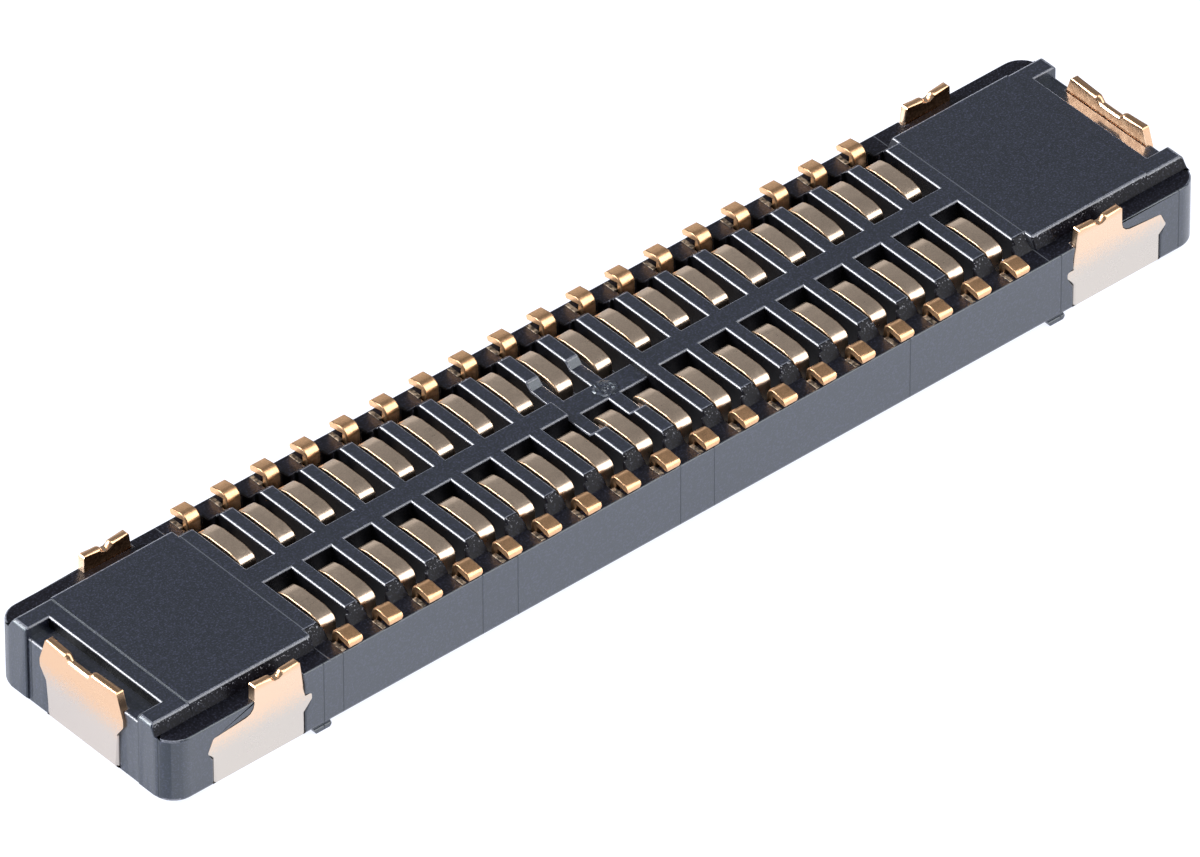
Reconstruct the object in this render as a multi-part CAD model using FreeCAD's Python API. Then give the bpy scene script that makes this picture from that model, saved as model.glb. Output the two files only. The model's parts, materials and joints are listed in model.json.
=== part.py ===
"""Board to board connector: a fine-pitch surface-mount receptacle, shown solder side up.

One moulded housing carries two rows of formed contacts and, at each end, one formed
hold-down. Millimetres. X runs along the rows, Y across them, Z up. The receptacle lies on
its mating side, so the solder tails are on top. The origin is under the middle of the part.
"""
import FreeCAD, Part
import math
import os

os.makedirs("parts", exist_ok=True)
V = FreeCAD.Vector

# Contact rows
pitch = 0.35
contacts_per_row = 18
metal = 0.055                # strip of the contacts
plate = 0.06                 # sheet of the hold-downs
bend_chords = 3              # a bend of a contact is drawn in this many chords
outline_chords = 3           # a round corner of a stamped or moulded outline

# Housing body
body_width = 1.83
end_block = 1.63             # last contact to the end face
corner_radius = 0.18
rim_chamfer = 0.025          # lower edge of the end faces and corners
stand_off = 0.04             # height of the four pips under the rim
wall_height = 0.535          # mating rim to ledge
top_rise = 0.095             # ledge to the flat top
floor_thickness = 0.23
outer_skin = 0.115           # plastic outside the contact's outer leg
wall_core = 0.10             # plastic between the contact's two legs
leg_proud = 0.015            # inner leg in front of the cavity wall

# Flat top: ribs, spine and end pads
spine_width = 0.188
slot_width = 0.2375
slot_end_gap = 0.03          # bar's outer end to the slot's end
pocket_width = 0.185
pocket_shift = -0.008        # pocket off the middle of the slot
pocket_corner = 0.03         # cut across the pocket's outer corners
pocket_gap = 0.017           # outer leg to the pocket's end
rib_end = 0.6475             # where the rib top ends, from the middle
rib_bevel = 0.095
pad_half_width = 0.7175
pad_bevel = 0.045
pad_margin = 0.238           # last contact to the pad
pad_step = 0.012             # the outer strip of the pad lies this much lower
pad_step_inset = 0.335       # end face to that step
pad_end_edge = 0.02          # bevel along the top of the end face

# End notch and end panel round each hold-down
notch_half_width = 0.5775
notch_depth = 0.205
panel_recess = 0.02

# Gate recess in the flat top
gate_first_slot = 8
gate_last_slot = 10
gate_depth = 0.05
gate_half_width = 0.30
gate_ramp = 0.05

# Mating cavity and island
island_half_width = 0.2
island_margin = 0.275        # last contact to the island's end
island_recess = 0.08         # rim to the island's face
cavity_end_wall = 0.392      # end face to the cavity

# Pips under the rim
pip_length = 0.147
pip_width = 0.115
pip_margin = 0.305           # last contact to the pip's middle
pip_round = 0.03

# Contact
contact_shift = -0.024       # contacts sit this much off the middle of their slots
tail_width = 0.12
tail_rise = 0.007            # tail top at its bend above the flat top
tail_droop = 0.025           # and how far it falls to its end
tail_reach = 0.012           # tail end past the wall's face
tail_bend = 0.07             # bend radii are those of the outside of the bend
bar_width = 0.14
bar_drop = 0.007             # bar's crown below the flat top
bar_bend = 0.06
bar_slope_drop = 0.016
bar_slope_run = 0.07
spine_gap = 0.086            # spine to the spring arm
hairpin_lift = 0.01          # hairpin above the mating rim
arm_knee_height = 0.30       # all arm heights are above the mating rim
arm_bump_height = 0.13
arm_bump_reach = 0.115
arm_tip_height = 0.05
arm_tip_reach = 0.045
hairpin_corner = 0.055

# Hold-down
tab_rise = 0.035             # tab tops above the flat top
saddle_drop = 0.045
frame_width = 0.16
lip_height = 0.20
side_lip_length = 0.50
end_lip_length = 0.80
leg_foot = 0.025             # bevel along the foot of each leg
tab_round = 0.02
saddle_top = 0.076           # opening of the saddle between two tabs
saddle_slope = 0.02

# Side leg of a hold-down: distances along it from its middle, heights above the rim
side_leg_inset = 0.775       # end face to the middle of the side legs
side_base = 0.398            # half the leg's width at the rim
side_neck = 0.04             # its end-side edge at the tabs
side_top = 0.355             # its contact-side edge at the tabs
side_shoulder = 0.415        # height of the wide foot
shoulder_rise = 0.027        # more at the tabs
shoulder_round = 0.08
lobe_reach = 0.052           # past the base, on the end side
lobe_height = 0.305
lobe_foot = 0.235
lobe_round = 0.04
barb_reach = 0.058           # past the base, on the contact side
barb_high = 0.345
barb_low = 0.295
barb_foot = 0.205
barb_round = 0.02
flank_height = 0.445

# End leg of a hold-down: distances across the part from its middle
end_base = 0.3675
end_top = 0.37
end_bulge = 0.066            # reach of the bulges past the base
bulge_high = 0.465
bulge_low = 0.405
bulge_foot = 0.31
bulge_round = 0.05
short_tab = 0.21
long_tab = 0.27
end_saddle_slope = 0.04

# Levels and places that follow from the sizes above
rim_z = stand_off
ledge_z = rim_z + wall_height
top_z = ledge_z + top_rise
ceiling_z = top_z - floor_thickness
last_x = (contacts_per_row - 1) * pitch / 2
half_length = last_x + end_block
half_width = body_width / 2
pad_x = last_x + pad_margin
island_z = rim_z + island_recess
island_x = last_x + island_margin
cavity_x = half_length - cavity_end_wall
leg1_out = half_width - outer_skin
leg1_in = leg1_out - metal
leg2_out = leg1_in - wall_core
leg2_in = leg2_out - metal
cavity_y = leg2_in + leg_proud
hairpin_low = rim_z + hairpin_lift
hairpin_z = hairpin_low + hairpin_corner + metal
slot_end = leg2_out + slot_end_gap
pocket_end = leg1_out + pocket_gap
arm_back = spine_width / 2 + spine_gap


def box(x0, x1, y0, y1, z0, z1):
    """Block between two corners, given in any order across the middle plane."""
    low_y, high_y = min(y0, y1), max(y0, y1)
    low_x, high_x = min(x0, x1), max(x0, x1)
    return Part.makeBox(high_x - low_x, high_y - low_y, z1 - z0, V(low_x, low_y, z0))


def round_corner(before, point, after, radius, chords):
    """Points of a corner rounded to a radius, as a few chords of the arc."""
    if radius == 0:
        return [point]
    to_before = (before - point).normalize()
    to_after = (after - point).normalize()
    half_turn = to_before.getAngle(to_after) / 2
    run = radius / math.tan(half_turn)
    centre = point + (to_before + to_after).normalize() * (radius / math.sin(half_turn))
    first = point + to_before * run - centre
    last = point + to_after * run - centre
    sweep = first.getAngle(last)
    aside = (last - first * math.cos(sweep)) * (1 / math.sin(sweep))
    steps = [sweep * k / chords for k in range(chords + 1)]
    return [centre + first * math.cos(t) + aside * math.sin(t) for t in steps]


def prism(corners, direction, chords=outline_chords):
    """Solid swept along a direction from an outline of (point, radius) corners."""
    points = []
    count = len(corners)
    for i, (point, radius) in enumerate(corners):
        before = corners[i - 1][0]
        after = corners[(i + 1) % count][0]
        points += round_corner(before, point, after, radius, chords)
    return Part.Face(Part.makePolygon(points + points[:1])).extrude(direction)


def strip(path, thickness):
    """Outline of a bent strip: (point, outside bend radius) along the strip's left side.
    The inside of each bend is left sharp."""
    left = []
    right = []
    last = len(path) - 1
    for i, (point, bend) in enumerate(path):
        into = (path[max(i, 1)][0] - path[max(i, 1) - 1][0]).normalize()
        out = (path[min(i + 1, last)][0] - path[min(i + 1, last) - 1][0]).normalize()
        side_in = V(0, -into.z, into.y)
        side_out = V(0, -out.z, out.y)
        bisector = (side_in + side_out).normalize()
        shift = bisector * (thickness / bisector.dot(side_in))
        turns_left = into.y * out.z - into.z * out.y > 0
        left.append((point, 0 if turns_left else bend))
        right.append((point - shift, bend if turns_left else 0))
    return left + right[::-1]


def contact_outline():
    """Side view of the far row's contact, as the left sides of two bent strips."""
    tail_z = top_z + tail_rise
    crown_z = top_z - bar_drop
    slope_z = crown_z - metal - bar_slope_drop
    arm_front = arm_back + metal
    tail_leg = [
        (V(0, half_width + tail_reach, tail_z - tail_droop - metal), 0),
        (V(0, leg1_out, tail_z - metal), tail_bend),
        (V(0, leg1_out, ceiling_z), 0),
    ]
    hairpin = [
        (V(0, leg1_out, ceiling_z), 0),
        (V(0, leg1_out, hairpin_low + hairpin_corner), 0),
        (V(0, leg1_out - hairpin_corner, hairpin_low), 0),
        (V(0, leg2_in + hairpin_corner, hairpin_low), 0),
        (V(0, leg2_in, hairpin_low + hairpin_corner), 0),
    ]
    bar = [
        (V(0, leg2_in, slope_z), bar_bend),
        (V(0, leg2_in - bar_slope_run, crown_z - metal), 0),
        (V(0, arm_front + bar_slope_run, crown_z - metal), 0),
        (V(0, arm_front, slope_z), bar_bend),
    ]
    arm = [
        (V(0, arm_front, rim_z + arm_knee_height), 0),
        (V(0, arm_front + arm_bump_reach, rim_z + arm_bump_height), 0),
        (V(0, arm_front + arm_tip_reach, rim_z + arm_tip_height), 0),
    ]
    return tail_leg, hairpin + bar + arm


def contact(slot_x, side):
    """One contact of the row on the given side, +1 far or -1 near."""
    x = slot_x + contact_shift
    tail_leg, spring = contact_outline()
    tail = prism(strip(tail_leg, metal), V(tail_width, 0, 0), bend_chords)
    tail.translate(V(x - tail_width / 2, 0, 0))
    solid = prism(strip(spring, metal), V(bar_width, 0, 0), bend_chords)
    solid.translate(V(x - bar_width / 2, 0, 0))
    solid = solid.fuse(tail)
    if side < 0:
        solid = solid.mirror(V(0, 0, 0), V(0, 1, 0))
    return solid.removeSplitter().Solids[0]


def side_leg_corners():
    """Outline of a side leg; the first number runs towards the contacts from its middle."""
    tab_z = top_z + tab_rise
    saddle_z = tab_z - saddle_drop
    saddle = (side_top - side_neck) / 2
    lip = saddle_top / 2
    floor = lip - saddle_slope
    lobe = side_base + lobe_reach
    barb = side_base + barb_reach
    return [
        ((-side_base, rim_z), 0),
        ((-side_base, rim_z + lobe_foot), 0),
        ((-lobe, rim_z + lobe_height), lobe_round),
        ((-side_base, rim_z + side_shoulder), lobe_round),
        ((-side_neck, rim_z + side_shoulder + shoulder_rise), shoulder_round),
        ((-side_neck, tab_z), tab_round),
        ((saddle - lip, tab_z), 0),
        ((saddle - floor, saddle_z), 0),
        ((saddle + floor, saddle_z), 0),
        ((saddle + lip, tab_z), 0),
        ((side_top, tab_z), tab_round),
        ((side_base, rim_z + flank_height), 0),
        ((side_base, rim_z + barb_high), 0),
        ((barb, rim_z + barb_high), barb_round),
        ((barb, rim_z + barb_low), barb_round),
        ((side_base, rim_z + barb_foot), 0),
        ((side_base, rim_z), 0),
    ]


def end_leg_corners():
    """Outline of the end leg; the first number runs across the part from its middle."""
    tab_z = top_z + tab_rise
    saddle_z = tab_z - saddle_drop
    bulge = end_base + end_bulge
    short_end = short_tab - end_top
    long_end = end_top - long_tab
    return [
        ((-end_base, rim_z), 0),
        ((-end_base, rim_z + bulge_foot), bulge_round),
        ((-bulge, rim_z + bulge_low), bulge_round),
        ((-bulge, rim_z + bulge_high), bulge_round),
        ((-end_top, tab_z), tab_round),
        ((short_end, tab_z), 0),
        ((short_end + end_saddle_slope, saddle_z), 0),
        ((long_end - end_saddle_slope, saddle_z), 0),
        ((long_end, tab_z), 0),
        ((end_top, tab_z), tab_round),
        ((bulge, rim_z + bulge_high), bulge_round),
        ((bulge, rim_z + bulge_low), bulge_round),
        ((end_base, rim_z + bulge_foot), bulge_round),
        ((end_base, rim_z), 0),
    ]


def leg(corners, thickness):
    """A leg cut to its outline, with the outer edge of its foot bevelled."""
    solid = prism(corners, V(0, thickness, 0))
    foot = [e for e in solid.Edges
            if e.BoundBox.ZMax < rim_z + 1e-6 and e.BoundBox.YMax < 1e-6]
    return solid.makeChamfer(leg_foot, foot)


def hold_down():
    """The hold-down of the right-hand end: three legs, a frame on the rim and inner lips."""
    leg_x = half_length - side_leg_inset
    plate_z = rim_z + plate
    low_x = leg_x - side_base
    high_x = leg_x + side_base
    reach_x = half_length - plate
    reach_y = half_width - plate
    frame = box(low_x, cavity_x + frame_width, -cavity_y - frame_width,
                cavity_y + frame_width, rim_z, plate_z)
    pieces = [
        box(low_x, high_x, -reach_y, -cavity_y, rim_z, plate_z),
        box(low_x, high_x, cavity_y, reach_y, rim_z, plate_z),
        box(cavity_x, reach_x, -end_base, end_base, rim_z, plate_z),
        box(cavity_x, cavity_x + plate, -end_lip_length / 2, end_lip_length / 2,
            rim_z, rim_z + lip_height),
    ]
    for side in (-1, 1):
        pieces.append(box(leg_x - side_lip_length / 2, leg_x + side_lip_length / 2,
                          side * cavity_y, side * (cavity_y + plate),
                          rim_z, rim_z + lip_height))
        corners = [(V(side * s, 0, z), r) for (s, z), r in side_leg_corners()]
        side_leg = leg(corners, plate)
        side_leg.rotate(V(0, 0, 0), V(0, 0, 1), 90 * (1 + side))
        side_leg.translate(V(leg_x, side * half_width, 0))
        pieces.append(side_leg)
    corners = [(V(y, 0, z), r) for (y, z), r in end_leg_corners()]
    end_leg = leg(corners, plate)
    end_leg.rotate(V(0, 0, 0), V(0, 0, 1), 90)
    end_leg.translate(V(half_length, 0, 0))
    pieces.append(end_leg)
    solid = frame.fuse(pieces)
    inside = box(low_x, cavity_x, -cavity_y, cavity_y, rim_z, rim_z + lip_height)
    return solid.cut(inside).removeSplitter().Solids[0]


def body_block():
    """Outer walls with round corners, up to the ledge; the ends' lower edge is bevelled."""
    x, y = half_length, half_width
    block = box(-x, x, -y, y, rim_z, ledge_z)
    upright = [e for e in block.Edges if e.BoundBox.ZLength > wall_height / 2]
    block = block.makeFillet(corner_radius, upright)
    straight = 2 * (x - corner_radius) - 1e-3
    rim = [e for e in block.Edges if e.BoundBox.ZMax < rim_z + 1e-6 and e.Length < straight]
    return block.makeChamfer(rim_chamfer, rim)


def deck(x0, x1, half_top, bevel, height, end_bevel):
    """Raised flat top between two stations; its long edges slope down to the ledge."""
    across = [
        (V(x0, -half_top - bevel, ledge_z), 0),
        (V(x0, -half_top, ledge_z + height), 0),
        (V(x0, half_top, ledge_z + height), 0),
        (V(x0, half_top + bevel, ledge_z), 0),
    ]
    solid = prism(across, V(x1 - x0, 0, 0))
    if end_bevel == 0:
        return solid
    outer = [e for e in solid.Edges
             if abs(abs(e.CenterOfMass.x) - half_length) < 1e-6
             and e.BoundBox.ZMin > ledge_z + height - 1e-6]
    return solid.makeChamfer(end_bevel, outer)


def gate_cut():
    """Shallow recess in the spine, ramping up along the ribs on both sides."""
    x0 = -last_x + (gate_first_slot - 1) * pitch + slot_width / 2
    x1 = -last_x + (gate_last_slot - 1) * pitch + slot_width / 2
    low = top_z - gate_depth
    section = [
        (V(x0, -gate_half_width - gate_ramp, top_z), 0),
        (V(x0, -gate_half_width, low), 0),
        (V(x0, gate_half_width, low), 0),
        (V(x0, gate_half_width + gate_ramp, top_z), 0),
    ]
    return prism(section, V(x1 - x0, 0, 0))


def island():
    """Centre island of the mating cavity."""
    x, y = island_x, island_half_width
    return box(-x, x, -y, y, island_z, ceiling_z)


def notch_cut(sign):
    """Notch behind a hold-down's end leg, down to the ledge's level."""
    return box(sign * (half_length - notch_depth), sign * half_length,
               -notch_half_width, notch_half_width, ledge_z, top_z)


def slot_tools(x, side):
    """What one contact takes out of the housing: slot, tail pocket and leg sockets."""
    half_slot = slot_width / 2
    pocket_x0 = x + pocket_shift - pocket_width / 2
    pocket_x1 = x + pocket_shift + pocket_width / 2
    bar_x0 = x + contact_shift - bar_width / 2
    bar_x1 = x + contact_shift + bar_width / 2
    near_y = side * spine_width / 2
    pocket = [
        (V(pocket_x0, side * slot_end, ceiling_z), 0),
        (V(pocket_x0, side * pocket_end, ceiling_z), pocket_corner),
        (V(pocket_x1, side * pocket_end, ceiling_z), pocket_corner),
        (V(pocket_x1, side * slot_end, ceiling_z), 0),
    ]
    return [
        box(x - half_slot, x + half_slot, near_y, side * slot_end, ceiling_z, top_z),
        prism(pocket, V(0, 0, top_z - ceiling_z), 1),
        box(x - half_slot, x + half_slot, near_y, side * island_half_width,
            island_z, ceiling_z),
        box(bar_x0, bar_x1, side * leg1_in, side * leg1_out, rim_z, ceiling_z),
        box(bar_x0, bar_x1, side * cavity_y, side * leg2_out, rim_z, ceiling_z),
        box(bar_x0, bar_x1, side * leg2_out, side * leg1_in, rim_z, hairpin_z),
    ]


def pips():
    """Four small rounded pips under the long walls' rim, beside the end blocks."""
    solids = []
    half = pip_length / 2
    for sign in (-1, 1):
        for side in (-1, 1):
            x = sign * (last_x + pip_margin)
            y = side * half_width - (pip_width if side > 0 else 0)
            section = [
                (V(x - half, y, rim_z), 0),
                (V(x - half, y, 0), pip_round),
                (V(x + half, y, 0), pip_round),
                (V(x + half, y, rim_z), 0),
            ]
            solids.append(prism(section, V(0, pip_width, 0)))
    return solids


def housing(hold_downs):
    """The moulded housing, cut for its contacts and hold-downs."""
    step_x = half_length - pad_step_inset
    strip_rise = top_rise - pad_step
    raised = [deck(-pad_x, pad_x, rib_end, rib_bevel, top_rise, 0)]
    for sign in (-1, 1):
        low, high = sorted((sign * pad_x, sign * step_x))
        raised.append(deck(low, high, pad_half_width, pad_bevel, top_rise, 0))
        low, high = sorted((sign * step_x, sign * half_length))
        raised.append(deck(low, high, pad_half_width, pad_bevel, strip_rise, pad_end_edge))
    solid = body_block().fuse(raised + pips()).removeSplitter()

    cavity = box(-cavity_x, cavity_x, -cavity_y, cavity_y, rim_z, ceiling_z)
    tools = [cavity.cut(island()), gate_cut()]
    for sign in (-1, 1):
        tools.append(notch_cut(sign))
        tools.append(box(sign * (half_length - panel_recess), sign * half_length,
                         -notch_half_width, notch_half_width, rim_z, ledge_z))
    for i in range(contacts_per_row):
        x = -last_x + i * pitch
        tools += slot_tools(x, -1)
        tools += slot_tools(x, 1)
    solid = solid.cut(tools)
    solid = solid.cut(hold_downs)
    return solid.removeSplitter()


right = hold_down()
left = right.copy()
left.rotate(V(0, 0, 0), V(0, 0, 1), 180)
moulding = housing([left, right])

left.exportStep("parts/hold_down_left.step")
right.exportStep("parts/hold_down_right.step")
moulding.exportStep("parts/housing.step")
for i in range(contacts_per_row):
    x = -last_x + i * pitch
    contact(x, -1).exportStep(f"parts/contact_near_{i + 1:02d}.step")
    contact(x, 1).exportStep(f"parts/contact_far_{i + 1:02d}.step")
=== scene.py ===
"""Board to board connector, dressed for the camera: a dark moulded receptacle lying on its
mating side, with two rows of gold contacts and a formed hold-down at each end."""
import bpy, bmesh, json, math, random
from mathutils import Matrix, Vector

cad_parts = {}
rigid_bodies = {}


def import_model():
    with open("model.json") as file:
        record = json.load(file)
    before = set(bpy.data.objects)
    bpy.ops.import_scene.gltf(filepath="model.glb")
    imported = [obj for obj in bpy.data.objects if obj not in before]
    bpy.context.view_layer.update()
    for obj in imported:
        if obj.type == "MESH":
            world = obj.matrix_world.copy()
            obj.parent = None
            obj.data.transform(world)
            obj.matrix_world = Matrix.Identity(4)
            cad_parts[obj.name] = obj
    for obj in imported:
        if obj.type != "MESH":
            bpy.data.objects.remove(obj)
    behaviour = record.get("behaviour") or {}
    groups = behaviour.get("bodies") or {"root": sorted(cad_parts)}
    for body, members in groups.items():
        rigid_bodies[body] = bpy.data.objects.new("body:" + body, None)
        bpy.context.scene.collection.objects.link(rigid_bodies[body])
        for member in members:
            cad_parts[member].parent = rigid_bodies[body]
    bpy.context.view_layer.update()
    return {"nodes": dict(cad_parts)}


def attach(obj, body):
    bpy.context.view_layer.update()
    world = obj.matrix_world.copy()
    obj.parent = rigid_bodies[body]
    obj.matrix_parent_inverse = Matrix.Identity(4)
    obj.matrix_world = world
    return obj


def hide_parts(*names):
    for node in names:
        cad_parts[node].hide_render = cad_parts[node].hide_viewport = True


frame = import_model()
MM = 0.001

# Studio. A white light table under the part, a long lens from the photograph's side, and
# soft boxes: two behind on the left that draw the white lines along the moulded edges, a
# tall one in front on the right for the bends of the metal, and weak fills above and behind.

bpy.context.scene.view_settings.view_transform = "Standard"


class Link:
    """A socket inside a material; arithmetic on it adds Math nodes."""

    def __init__(self, tree, socket):
        self.tree = tree
        self.socket = socket

    def maths(self, operation, first, second=0.0):
        node = self.tree.nodes.new("ShaderNodeMath")
        node.operation = operation
        for place, value in zip(node.inputs, (first, second)):
            if isinstance(value, Link):
                self.tree.links.new(value.socket, place)
            else:
                place.default_value = value
        return Link(self.tree, node.outputs[0])

    def __add__(self, other):
        return self.maths("ADD", self, other)

    def __sub__(self, other):
        return self.maths("SUBTRACT", self, other)

    def __rsub__(self, other):
        return self.maths("SUBTRACT", other, self)

    def __mul__(self, other):
        return self.maths("MULTIPLY", self, other)

    __radd__ = __add__
    __rmul__ = __mul__

    def over(self, level):
        return self.maths("GREATER_THAN", self, level)

    def under(self, level):
        return self.maths("LESS_THAN", self, level)

    def least(self, other):
        return self.maths("MINIMUM", self, other)

    def size(self):
        return self.maths("ABSOLUTE", self)

    def ramp(self, low, high):
        """0 below low, 1 above high, smooth between."""
        node = self.tree.nodes.new("ShaderNodeMapRange")
        node.interpolation_type = "SMOOTHSTEP"
        node.inputs["From Min"].default_value = low
        node.inputs["From Max"].default_value = high
        self.tree.links.new(self.socket, node.inputs["Value"])
        return Link(self.tree, node.outputs["Result"])


class Finish:
    """A material being built round one Principled shader."""

    def __init__(self, name, **values):
        self.material = bpy.data.materials.new(name)
        self.material.use_nodes = True
        self.tree = self.material.node_tree
        self.shader = self.tree.nodes["Principled BSDF"]
        for socket, value in values.items():
            self.shader.inputs[socket.replace("_", " ")].default_value = value
        self.place = self.node("ShaderNodeTexCoord", {}, out="Object")

    def node(self, kind, sockets, out=0, **settings):
        """Adds a node: its settings first, then the values or links of its sockets."""
        node = self.tree.nodes.new(kind)
        for key, value in settings.items():
            setattr(node, key, value)
        for key, value in sockets.items():
            if isinstance(value, Link):
                self.tree.links.new(value.socket, node.inputs[key])
            else:
                node.inputs[key].default_value = value
        return Link(self.tree, node.outputs[out])

    def axes(self):
        """The place on the part as three numbers in millimetres."""
        scaled = self.node("ShaderNodeVectorMath", {0: self.place, 1: (1 / MM,) * 3},
                           operation="MULTIPLY")
        return [self.node("ShaderNodeSeparateXYZ", {0: scaled}, out=n) for n in "XYZ"]

    def noise(self, grain_mm, detail=2.0, rough=0.5, stretch=(1, 1, 1)):
        """Soft noise whose features are about grain_mm wide."""
        place = self.node("ShaderNodeMapping", {"Vector": self.place, "Scale": stretch})
        return self.node("ShaderNodeTexNoise", {"Vector": place, "Scale": 1 / (grain_mm * MM),
                                                "Detail": detail, "Roughness": rough})

    def mix(self, mask, low, high):
        """A colour between two colours."""
        colours = [c if isinstance(c, Link) else (*c, 1) for c in (low, high)]
        return self.node("ShaderNodeMix", {"Factor": mask, 6: colours[0], 7: colours[1]},
                         out=2, data_type="RGBA")

    def feed(self, socket, link):
        self.tree.links.new(link.socket, self.shader.inputs[socket])

    def bump(self, height, depth_mm, strength=1.0):
        normal = self.node("ShaderNodeBump", {"Height": height, "Strength": strength,
                                              "Distance": depth_mm * MM}, out="Normal")
        self.feed("Normal", normal)


table_half = 60 * MM
table_finish = Finish("pale_table", Base_Color=(0.2, 0.2, 0.205, 1),
                      Emission_Color=(0.97, 1.0, 1.12, 1), Emission_Strength=0.94)
table_grain = table_finish.noise(0.8)
table_finish.feed("Roughness", table_grain * 0.1 + 0.55)

table_mesh = bpy.data.meshes.new("table")
table_mesh.from_pydata([(-table_half, -table_half, 0), (table_half, -table_half, 0),
                        (table_half, table_half, 0), (-table_half, table_half, 0)],
                       [], [(0, 1, 2, 3)])
table_mesh.materials.append(table_finish.material)
studio_table = bpy.data.objects.new("table", table_mesh)
bpy.context.collection.objects.link(studio_table)

bpy.context.scene.world = bpy.data.worlds.new("studio")
bpy.context.scene.world.use_nodes = True
room = bpy.context.scene.world.node_tree.nodes["Background"]
room.inputs["Color"].default_value = (0.95, 0.97, 1.0, 1)
room.inputs["Strength"].default_value = 0.21


def soft_box(name, direction, reach_mm, width_mm, height_mm, power):
    """A flat area light that looks at the part from a direction."""
    light = bpy.data.lights.new(name, "AREA")
    light.shape = "RECTANGLE"
    light.size = width_mm * MM
    light.size_y = height_mm * MM
    light.energy = power
    box = bpy.data.objects.new(name, light)
    away = Vector(direction).normalized()
    box.location = away * reach_mm * MM
    box.rotation_euler = away.to_track_quat("Z", "Y").to_euler()
    bpy.context.collection.objects.link(box)


soft_box("back_left_box", (-0.74, 0.58, 0.33), 180, 66, 66, 0.34)
soft_box("upper_left_box", (-0.50, 0.58, 0.64), 180, 60, 60, 0.20)
soft_box("front_right_box", (0.50, -0.60, 0.62), 180, 100, 320, 0.32)
soft_box("back_right_card", (0.50, 0.82, 0.33), 180, 110, 60, 0.011)
soft_box("overhead_box", (0.0, -0.15, 1.0), 240, 120, 120, 0.06)

lens_mm = 600
sensor_mm = 36
camera_at = Vector((-68.251, -79.080, 86.233)) * MM
aimed_at = Vector((-0.1618, -0.1286, 0.4352)) * MM
camera_roll = math.radians(-0.1157)
camera = bpy.data.objects.new("camera", bpy.data.cameras.new("camera"))
camera.data.lens = lens_mm
camera.data.sensor_width = sensor_mm
camera.data.clip_start = 5 * MM
camera.data.clip_end = 1.0
look = (aimed_at - camera_at).to_track_quat("-Z", "Y").to_matrix().to_4x4()
camera.matrix_world = (Matrix.Translation(camera_at) @ look
                       @ Matrix.Rotation(camera_roll, 4, "Z"))
bpy.context.collection.objects.link(camera)
bpy.context.scene.camera = camera

# Housing. One moulding in dark glass-filled liquid crystal polymer: speckled with fibre
# ends on its flats, polished along its edges and painted lighter there as a painted
# highlight, spark eroded in its slots and painted near black there as painted shade, and
# torn at the ends of its ribs, with light specks near their tops that are painted glints.
# The tool's inserts leave witness lines on the walls.

edge_radius = 0.013 * MM
weld_distance = 0.0002 * MM
flat_turn = math.radians(1)
sharp_turn = math.radians(40)
smooth_turn = math.radians(40)
narrow_face = 1.6


def clean_copy(node, name):
    """A copy of a CAD node's mesh with its loose triangles joined into flat faces."""
    form = bmesh.new()
    form.from_mesh(frame["nodes"][node].data)
    bmesh.ops.remove_doubles(form, verts=form.verts, dist=weld_distance)
    bmesh.ops.dissolve_limit(form, angle_limit=flat_turn, verts=form.verts,
                             edges=form.edges)
    mesh = bpy.data.meshes.new(name)
    form.to_mesh(mesh)
    form.free()
    piece = bpy.data.objects.new(name, mesh)
    bpy.context.collection.objects.link(piece)
    return piece


def coat(piece, *finishes):
    """Gives a piece its finishes, the main one in the first material slot."""
    piece.data.materials.clear()
    for finish in finishes:
        piece.data.materials.append(finish.material)


def plain_mesh(piece):
    """Makes what the piece's modifiers give its own mesh, and takes them off."""
    evaluated = piece.evaluated_get(bpy.context.evaluated_depsgraph_get())
    mesh = bpy.data.meshes.new_from_object(evaluated)
    piece.modifiers.clear()
    piece.data = mesh


def settle_normals(mesh, flatness):
    """Lets small faces turn smoothly; the higher the flatness, the flatter large faces stay."""
    area_scale = 1e9
    mesh.shade_smooth()
    faces_at = [[] for vertex in mesh.vertices]
    for face in mesh.polygons:
        weight = (face.area * area_scale) ** flatness
        for vertex in face.vertices:
            faces_at[vertex].append((face.normal.copy(), weight))
    normals = []
    for face in mesh.polygons:
        for vertex in face.vertices:
            turned = Vector()
            for normal, weight in faces_at[vertex]:
                if normal.dot(face.normal) > math.cos(smooth_turn):
                    turned += normal * weight
            normals.append(turned.normalized())
    mesh.normals_split_custom_set(normals)


def soften(piece, radius, segments, edge_slot=-1, flatness=2.0):
    """Rounds the outward edges of a piece and makes the result its mesh."""
    form = bmesh.new()
    form.from_mesh(piece.data)
    weight = form.edges.layers.float.new("bevel_weight_edge")
    for edge in form.edges:
        if edge.is_manifold and edge.calc_face_angle_signed(0) > sharp_turn:
            narrowest = min(face.calc_area() / max(side.calc_length() for side in face.edges)
                            for face in edge.link_faces)
            edge[weight] = 1.0 if narrowest > narrow_face * radius else 0.0
    form.to_mesh(piece.data)
    form.free()
    bevel = piece.modifiers.new("edge", "BEVEL")
    bevel.width = radius
    bevel.segments = segments
    bevel.limit_method = "WEIGHT"
    bevel.use_clamp_overlap = False
    bevel.material = edge_slot
    plain_mesh(piece)
    settle_normals(piece.data, flatness)


wall_lines_mm = (-3.27, -3.10, -1.878, -1.568, -0.125, 0.176, 1.939, 3.315, 4.394)
end_lines_mm = (0.546, -0.5915, -0.7875)
pad_line_mm = 3.21
line_half_mm = 0.007
wall_faces_mm = 0.905
end_faces_mm = 4.55
pad_level_mm = 0.56
glint_rise_mm = (0.60, 0.66)


def groove(across_mm):
    """A V-shaped line: 1 on it, falling to 0 at line_half_mm."""
    return across_mm.size().ramp(line_half_mm, 0.0)


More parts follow.
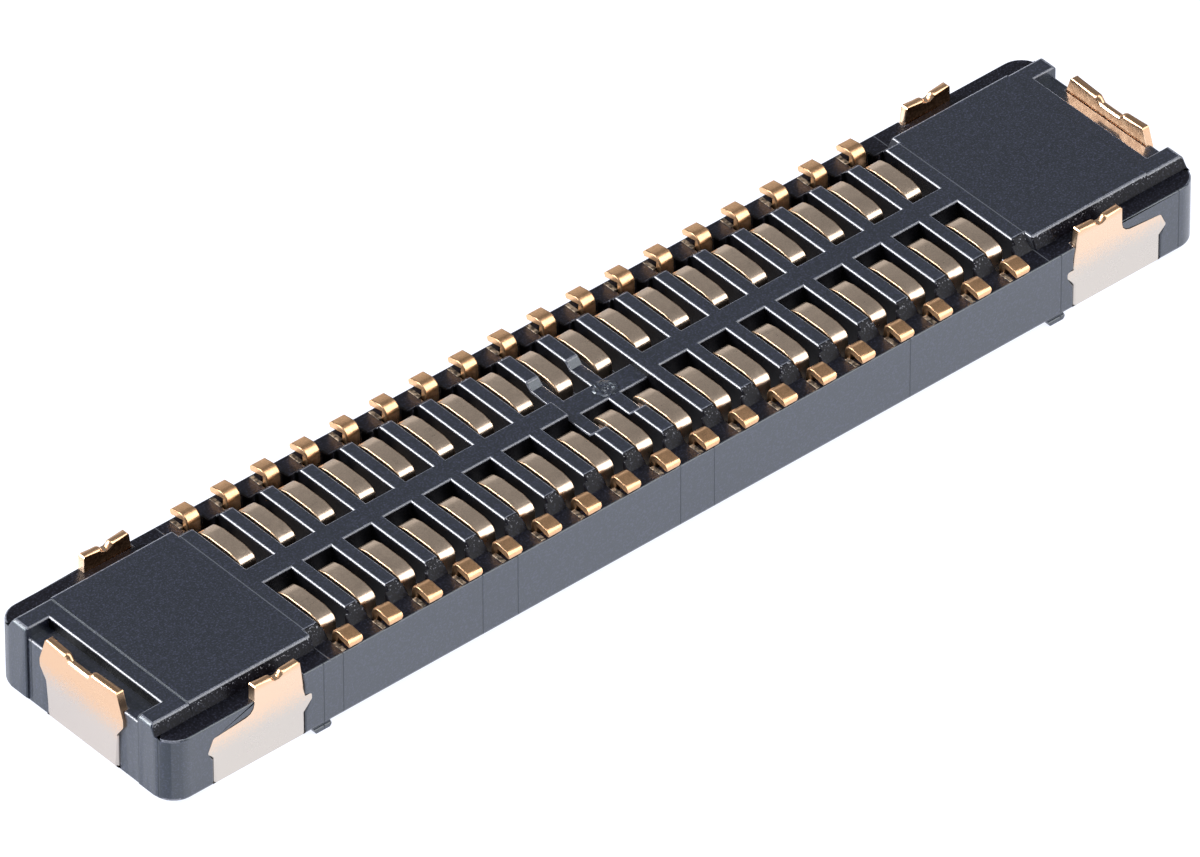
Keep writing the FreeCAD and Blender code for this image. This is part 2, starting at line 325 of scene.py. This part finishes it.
def mould(name, dark, light, gloss=0.7, glint_specks=0.0, **values):
    """The moulding compound, with its fibre speckle and the tool's witness lines, a painted
    highlight on the line across the end pads, and, when asked, painted glints: light specks
    near the tops of the torn rib ends.
    """
    finish = Finish(name, **values)
    x_mm, y_mm, z_mm = finish.axes()
    fibres = finish.noise(0.014, detail=2)
    grain = finish.noise(0.04, detail=3)
    flow = finish.noise(0.6, detail=2, stretch=(0.4, 1, 1))
    wall_lines = 0.0
    for line_mm in wall_lines_mm:
        wall_lines = groove(x_mm - line_mm) + wall_lines
    end_lines = 0.0
    for line_mm in end_lines_mm:
        end_lines = groove(y_mm - line_mm) + end_lines
    walls = y_mm.size().over(wall_faces_mm)
    ends = x_mm.size().over(end_faces_mm)
    lines = wall_lines * walls + end_lines * ends
    pad_line_and_highlight = groove(x_mm.size() - pad_line_mm) * z_mm.over(pad_level_mm)
    speckle = fibres.ramp(0.48, 0.72) * 0.85 + grain.ramp(0.45, 0.75) * 0.15
    tone = finish.mix(speckle, dark, light)
    # Painted highlight: the raised line across the end pads is painted lighter grey, as if lit.
    tone = finish.mix(pad_line_and_highlight * 0.5, tone, (0.16, 0.17, 0.20))
    # Painted glints: light specks on the torn faces, fading in towards the tops of the rib ends,
    # where light catches them.
    if glint_specks:
        torn = fibres.ramp(0.60, 0.72) * z_mm.ramp(*glint_rise_mm) * glint_specks
        tone = finish.mix(torn, tone, (0.62, 0.63, 0.68))
    finish.feed("Base Color", finish.mix(lines, tone, (0.004, 0.004, 0.006)))
    finish.feed("Roughness", flow * 0.10 + grain * 0.15 + 0.30)
    if gloss:
        streaks = finish.noise(0.07, detail=2, stretch=(1, 1, 0.05)).ramp(0.42, 0.62)
        matt = (lines + ends * (0.45 + streaks * 0.5)).least(1.0)
        finish.feed("Coat Weight", (walls * 0.2 + gloss) * (1.0 - matt))
    finish.bump(fibres + grain * 0.8 + pad_line_and_highlight * 3.0 - lines * 4.0, 0.0012, 0.5)
    return finish


moulding = mould("glass_filled_polymer", (0.002, 0.003, 0.009), (0.030, 0.032, 0.066),
                 IOR=1.72, Specular_Tint=(0.78, 0.90, 1.0, 1), Coat_Roughness=0.07)
# The edge finish is painted lighter than the flats: a painted highlight along the rounded edges,
# besides its higher gloss.
polished_edge_highlight = mould("polished_polymer_edge_highlight", (0.09, 0.10, 0.13), (0.24, 0.25, 0.31),
                      IOR=1.8, Coat_Roughness=0.22)
# Painted shade: a near-black colour for the slot walls and other recesses, besides their matt
# eroded finish.
eroded_slot_shade = mould("spark_eroded_polymer_shade", (0.002, 0.002, 0.003), (0.008, 0.008, 0.011),
                    gloss=0.0, Specular_IOR_Level=0.15)
# Matt finish for torn rib ends, ledges and pad sides; its light specks near the rib tops are
# painted glints.
torn_rib = mould("torn_polymer", (0.003, 0.003, 0.006), (0.026, 0.028, 0.046), gloss=0.0,
                 glint_specks=0.8, Specular_IOR_Level=0.2)

housing = clean_copy("housing", "housing_moulded")
coat(housing, moulding, polished_edge_highlight, eroded_slot_shade, torn_rib)
FLAT, EDGE, ERODED_SHADE, TORN = range(4)
soften(housing, edge_radius, 3, edge_slot=EDGE)

rib_row_mm = 3.25
slot_row_mm = 3.17
slot_end_mm = 0.78
ledge_start_mm = 0.775
rib_end_mm = (0.55, 0.80)
rib_foot_mm = (0.55, 0.87)
rib_shoulder_mm = 0.655
pad_start_mm = 3.2
notch_back_mm = (4.38, 4.42)
notch_half_mm = 0.58
outline_mm = (4.588, 0.895)
# Sorting the housing's faces: slot walls, the notches' back walls and the steep faces of the rib
# ends get the painted shade, and edge fillets on the outline lose the painted edge highlight.
for face in housing.data.polygons:
    along, across = abs(face.center.x) / MM, abs(face.center.y) / MM
    height = face.center.z / MM
    rise = abs(face.normal.z)
    steep = rise < 0.3
    slope = 0.3 <= rise < 0.9
    sideways = abs(face.normal.y)
    in_row = along < rib_row_mm
    on_rib_end = in_row and rib_end_mm[0] < across < rib_end_mm[1]
    on_rib_foot = in_row and rib_foot_mm[0] < across < rib_foot_mm[1]
    ledge = in_row and across > ledge_start_mm and face.normal.z > 0.9
    slot_wall = along < slot_row_mm and across < slot_end_mm and steep
    notch_back = notch_back_mm[0] < along < notch_back_mm[1] and across < notch_half_mm and steep
    pad_side = along > pad_start_mm and slope and sideways > 0.4
    outline = along > outline_mm[0] or across > outline_mm[1]
    if face.material_index == FLAT and (ledge or pad_side or on_rib_end and slope):
        face.material_index = TORN
    elif face.material_index == FLAT and (slot_wall or notch_back or on_rib_end and steep):
        face.material_index = ERODED_SHADE
    elif face.material_index == EDGE and on_rib_end and sideways > 0.3:
        face.material_index = TORN
    elif face.material_index == EDGE and on_rib_foot and height < rib_shoulder_mm:
        face.material_index = ERODED_SHADE
    elif face.material_index == EDGE and outline:
        face.material_index = FLAT
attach(housing, "root")
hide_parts("housing")

# Gate scar. Where the sprue was broken off, in the recess of the spine: a low rough stub
# of the same compound with a torn rim.

scar_middle = Vector((0.0, 0.0, 0.62)) * MM
scar_radius = 0.095 * MM
scar_height = 0.018 * MM
scar_sunk = 0.002 * MM
scar_taper = 0.90
scar_wander = 0.09
scar_rings = 5
scar_rim = (1, 2)
scar_spokes = 18
torn = random.Random(11)
form = bmesh.new()
rings = []
for ring in range(scar_rings + 1):
    inward = ring / scar_rings * scar_taper
    tallest = 1.0 if ring in scar_rim else 0.6
    points = []
    for spoke in range(scar_spokes):
        turn = 2 * math.pi * spoke / scar_spokes
        reach = scar_radius * (1 - inward) * (1 + torn.uniform(-scar_wander, scar_wander))
        lift = scar_height * torn.uniform(0.15, 1.0) * tallest
        lift = -scar_sunk if ring == 0 else lift
        spot = Vector((reach * math.cos(turn), reach * math.sin(turn), lift))
        points.append(form.verts.new(scar_middle + spot))
    rings.append(points)
for outer, inner in zip(rings, rings[1:]):
    for spoke in range(scar_spokes):
        after = (spoke + 1) % scar_spokes
        form.faces.new((outer[spoke], outer[after], inner[after], inner[spoke]))
form.faces.new(rings[-1])
form.faces.new(reversed(rings[0]))
scar_mesh = bpy.data.meshes.new("gate_scar")
form.to_mesh(scar_mesh)
form.free()
scar_mesh.materials.append(moulding.material)
gate_scar = bpy.data.objects.new("gate_scar", scar_mesh)
bpy.context.collection.objects.link(gate_scar)
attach(gate_scar, "root")

# Contacts. Strips of copper alloy, stamped, bent and plated with gold over nickel. The
# solder tails are the yellower part. The bars over the slots are paler and brushed, and
# the edges that the stamping tool cut are rougher.

contact_radius = 0.010 * MM
tail_end_radius = 0.034 * MM
tail_end_y = 0.92 * MM
tail_end_z = 0.63 * MM
tail_start_mm = (0.64, 0.72)
contacts_per_row = 18

gold = Finish("contact_plating", Metallic=1.0)
across_mm = gold.axes()[1].size()
on_tail = across_mm.ramp(*tail_start_mm)
wear = gold.noise(0.03, detail=3)
brushed = gold.noise(0.008, detail=2, stretch=(1, 0.5, 1))
plated = gold.mix(on_tail, (0.88, 0.70, 0.55), (0.92, 0.55, 0.30))
worn = gold.mix(on_tail, (0.74, 0.58, 0.45), (0.74, 0.43, 0.23))
gold.feed("Base Color", gold.mix(brushed.ramp(0.3, 0.7), worn, plated))
rubbed = gold.noise(0.12, detail=3, rough=0.55)
gold.feed("Roughness", wear * 0.10 + rubbed * 0.12 + 0.20)
gold.bump(wear + rubbed * 6.0, 0.0006, 0.3)

cut_edge = Finish("cut_edge_plating", Metallic=1.0)
across_mm = cut_edge.axes()[1].size()
on_tail = across_mm.ramp(*tail_start_mm)
burr = cut_edge.noise(0.02, detail=3)
cut_tone = cut_edge.mix(on_tail, (0.62, 0.45, 0.31), (0.66, 0.38, 0.20))
cut_edge.feed("Base Color", cut_edge.mix(burr.ramp(0.3, 0.7), (0.36, 0.24, 0.15), cut_tone))
cut_edge.feed("Roughness", burr * 0.15 + 0.36)


def round_edges(piece, radius, chosen):
    """Gives the edges that a test chooses a larger radius than the rest."""
    form = bmesh.new()
    form.from_mesh(piece.data)
    edges = [edge for edge in form.edges if chosen(edge)]
    bmesh.ops.bevel(form, geom=edges, offset=radius, segments=4, profile=0.5,
                    affect="EDGES")
    form.to_mesh(piece.data)
    form.free()


def is_tail_end(edge):
    """Whether an edge lies across the upper corner of a solder tail's end."""
    return all(abs(vertex.co.y) > tail_end_y and vertex.co.z > tail_end_z
               for vertex in edge.verts)


for row in ("near", "far"):
    for number in range(1, contacts_per_row + 1):
        node = f"contact_{row}_{number:02d}"
        contact = clean_copy(node, node + "_plated")
        coat(contact, gold, cut_edge)
        round_edges(contact, tail_end_radius, is_tail_end)
        soften(contact, contact_radius, 3, edge_slot=EDGE, flatness=1.0)
        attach(contact, "root")
        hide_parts(node)

# Carrier ties. Beside each tail the housing's ledge shows the sheared end of the tie that
# held the contact to its carrier strip: a small dull spot of bare metal, almost flush.

tie_width = 0.036 * MM
tie_length = 0.11 * MM
tie_height = 0.03 * MM
tie_proud = 0.002 * MM
tie_edge_radius = 0.002 * MM
tie_offset = -0.098 * MM
tie_middle_y = 0.845 * MM
ledge_z = 0.575 * MM
pitch = 0.35 * MM


class Tree:
    """A Geometry Nodes tree with named inputs for its sizes."""

    def __init__(self, name):
        self.group = bpy.data.node_groups.new(name, "GeometryNodeTree")
        self.group.interface.new_socket("Geometry", in_out="OUTPUT",
                                        socket_type="NodeSocketGeometry")
        self.ids = {}
        self.entry = self.group.nodes.new("NodeGroupInput")
        self.exit = self.group.nodes.new("NodeGroupOutput")

    def size(self, name, kind="NodeSocketFloat"):
        """Adds a named input and returns its socket inside the tree."""
        socket = self.group.interface.new_socket(name, in_out="INPUT", socket_type=kind)
        self.ids[name] = socket.identifier
        return self.entry.outputs[name]

    def node(self, kind, sockets, **settings):
        """Adds a node: its settings first, then the values or links of its sockets."""
        node = self.group.nodes.new(kind)
        for key, value in settings.items():
            setattr(node, key, value)
        for key, value in sockets.items():
            if isinstance(value, bpy.types.NodeSocket):
                self.group.links.new(value, node.inputs[key])
            else:
                node.inputs[key].default_value = value
        return node.outputs

    def grow(self, name, geometry, material, **sizes):
        """Runs the tree with these sizes and returns its result as a plain piece."""
        solid = self.node("GeometryNodeRealizeInstances", {"Geometry": geometry})
        coated = self.node("GeometryNodeSetMaterial", {"Geometry": solid[0],
                                                       "Material": material})
        self.group.links.new(coated[0], self.exit.inputs[0])
        piece = bpy.data.objects.new(name, bpy.data.meshes.new(name))
        bpy.context.collection.objects.link(piece)
        maker = piece.modifiers.new("maker", "NODES")
        maker.node_group = self.group
        for key, value in sizes.items():
            maker[self.ids[key]] = value
        plain_mesh(piece)
        return piece


ties = Tree("carrier_ties")
count = ties.size("Count", "NodeSocketInt")
spacing = ties.size("Spacing")
width = ties.size("Width")
length = ties.size("Length")
height = ties.size("Height")
row_y = ties.size("Row Y")
first_x = ties.size("First X")
level = ties.size("Level")
block_size = ties.node("ShaderNodeCombineXYZ", {"X": width, "Y": length, "Z": height})
block = ties.node("GeometryNodeMeshCube", {"Size": block_size[0], "Vertices X": 2,
                                           "Vertices Y": 2, "Vertices Z": 2})
step = ties.node("ShaderNodeCombineXYZ", {"X": spacing})
both_rows = []
for side in (-1, 1):
    side_y = ties.node("ShaderNodeMath", {0: row_y, 1: float(side)}, operation="MULTIPLY")
    start = ties.node("ShaderNodeCombineXYZ", {"X": first_x, "Y": side_y[0], "Z": level})
    row = ties.node("GeometryNodeMeshLine", {"Count": count, "Start Location": start[0],
                                             "Offset": step[0]}, mode="OFFSET")
    both_rows.append(row[0])
joined = ties.group.nodes.new("GeometryNodeJoinGeometry")
for row in both_rows:
    ties.group.links.new(row, joined.inputs[0])
placed = ties.node("GeometryNodeInstanceOnPoints", {"Points": joined.outputs[0],
                                                    "Instance": block[0]})
first_slot_x = -(contacts_per_row - 1) / 2 * pitch
tie_level = ledge_z + tie_proud - tie_height / 2

sheared = Finish("sheared_tie", Metallic=0.7)
smeared = sheared.noise(0.03, detail=3)
sheared.feed("Base Color", sheared.mix(smeared.ramp(0.4, 0.65), (0.07, 0.06, 0.05),
                                       (0.42, 0.35, 0.27)))
sheared.feed("Roughness", smeared * 0.2 + 0.5)
sheared.bump(smeared, 0.002, 0.5)

tie_stubs = ties.grow("carrier_ties", placed[0], sheared.material, Count=contacts_per_row,
                      Spacing=pitch, Width=tie_width, Length=tie_length,
                      Height=tie_height, **{"Row Y": tie_middle_y,
                                            "First X": first_slot_x + tie_offset,
                                            "Level": tie_level})
soften(tie_stubs, tie_edge_radius, 1)
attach(tie_stubs, "root")

# Hold-downs. One plate at each end with three legs, moulded flush into the walls. The gold
# at their tabs fades into the silver of the tin below in a fine stipple, and is smoky and
# coppery on the inner faces of the tabs. On the end faces of the part the gold and the tin
# are painted darker, as painted shade.

hold_down_radius = 0.025 * MM
end_lip_mm = (4.38, 4.515)
tab_foot = 0.64 * MM
end_tab = 4.4 * MM

plate = Finish("hold_down_plating", Metallic=1.0)
x_mm, y_mm, z_mm = plate.axes()
stipple = plate.noise(0.012, detail=3)
smudge = plate.noise(0.35, detail=3, rough=0.6)
gilded = (z_mm + stipple * 0.3 + smudge * 0.1 - 0.2).ramp(0.29, 0.53)
tab_tip = z_mm.ramp(0.64, 0.70)
# Painted shade: the plates on the end faces get darker gold and darker tin than the side plates,
# though the plating is the same.
end_face_shade = x_mm.size().over(end_faces_mm)
gilt = plate.mix(tab_tip, (0.88, 0.64, 0.455), (0.88, 0.55, 0.33))
gilt = plate.mix(end_face_shade * 0.8, gilt, (0.63, 0.395, 0.235))
on_lip = x_mm.size().over(end_lip_mm[0]) * x_mm.size().under(end_lip_mm[1])
gilt = plate.mix(on_lip, gilt, (0.97, 0.62, 0.38))
tin = plate.mix(end_face_shade, (0.645, 0.59, 0.52), (0.515, 0.465, 0.42))
plate.feed("Base Color", plate.mix(gilded, tin, gilt))
plate.feed("Roughness", smudge * 0.1 + stipple * 0.08 + 0.2)
plate.bump(smudge, 0.0015, 0.4)

smoked = Finish("smoked_plating", Metallic=1.0)
soot = smoked.noise(0.02, detail=3)
smoked.feed("Base Color", smoked.mix(soot.ramp(0.35, 0.7), (0.30, 0.15, 0.07),
                                     (0.55, 0.31, 0.17)))
smoked.feed("Roughness", soot * 0.1 + 0.25)

coppered = Finish("coppered_plating", Metallic=1.0)
ripple = coppered.noise(0.05, detail=3)
coppered.feed("Base Color", coppered.mix(ripple.ramp(0.35, 0.65), (0.60, 0.34, 0.19),
                                         (0.86, 0.53, 0.32)))
coppered.feed("Roughness", ripple * 0.1 + 0.22)

SMOKED, COPPERED = 1, 2
for side in ("left", "right"):
    node = f"hold_down_{side}"
    hold_down = clean_copy(node, node + "_plated")
    coat(hold_down, plate, smoked, coppered)
    soften(hold_down, hold_down_radius, 4)
    for face in hold_down.data.polygons:
        middle = face.center
        highest = max(hold_down.data.vertices[corner].co.z for corner in face.vertices)
        inward_y = face.normal.y * middle.y < -0.9 * abs(middle.y)
        inward_x = face.normal.x * middle.x < -0.9 * abs(middle.x)
        if highest > tab_foot and inward_y:
            face.material_index = SMOKED
        elif highest > tab_foot and inward_x and abs(middle.x) > end_tab:
            face.material_index = COPPERED
    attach(hold_down, "root")
    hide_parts(node)
